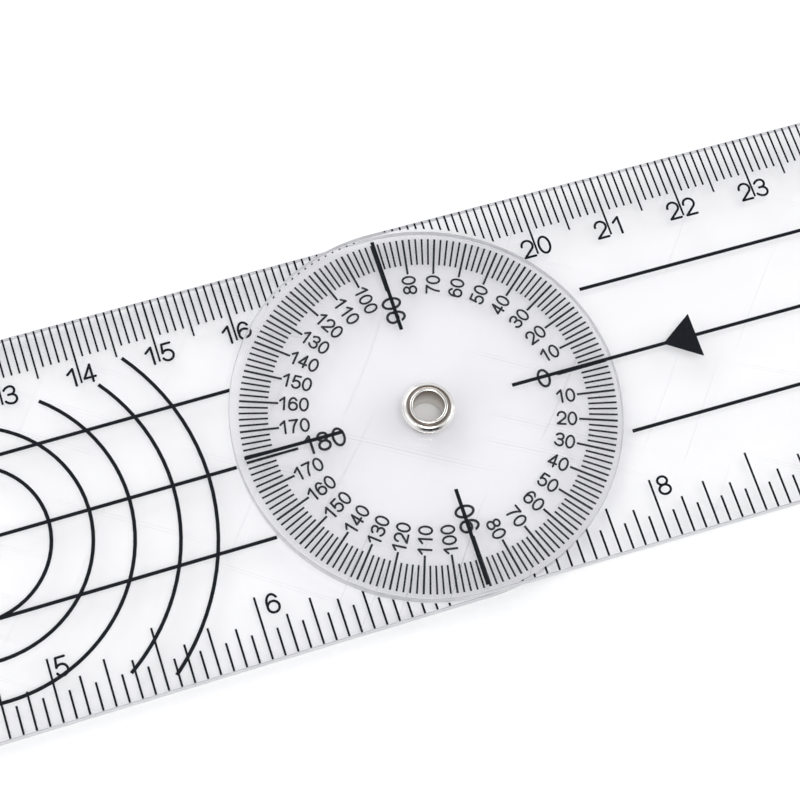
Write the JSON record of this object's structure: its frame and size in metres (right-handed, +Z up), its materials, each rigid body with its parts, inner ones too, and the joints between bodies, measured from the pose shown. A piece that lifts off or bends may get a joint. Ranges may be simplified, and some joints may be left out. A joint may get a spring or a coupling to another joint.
{
  "type": "goniometer",
  "caption": "Clear plastic two-arm goniometer: ruler arms turning on a metal eyelet over a printed degree ring.",
  "frame": {"origin": "on the pivot axis, at the bottom face of the eyelet's flange", "axes": "+Z up out of the printed faces; +X along the moving arm at zero degrees; +Y towards the centimetre edges"},
  "size_m": [0.3802, 0.0511, 0.0044],
  "materials": {
    "clear_sheet": "clear gloss with fine scuffs",
    "black_ink": "matt screen-printed ink",
    "nickel": "polished nickel plate"
  },
  "bodies": {
    "stationary_assembly": {"fixed_arm": "clear_sheet", "eyelet": "nickel", "eyelet_washer": "nickel", "degree_ring_marks": "black_ink", "degree_ring_numerals": "black_ink", "fixed_cm_marks": "black_ink", "fixed_cm_numerals": "black_ink", "fixed_inch_marks": "black_ink", "fixed_inch_numerals": "black_ink", "fixed_guide_lines": "black_ink"},
    "moving_assembly": {"moving_arm": "clear_sheet", "moving_cm_marks": "black_ink", "moving_cm_numerals": "black_ink", "moving_inch_marks": "black_ink", "moving_inch_numerals": "black_ink", "moving_side_lines": "black_ink", "moving_pointer": "black_ink"}
  },
  "joints": [
    {"name": "arm_pivot", "type": "hinge", "parent": "stationary_assembly", "child": "moving_assembly", "pos_m": [0, 0, 0.0027], "axis": [0, 0, 1], "continuous": true}
  ]
}
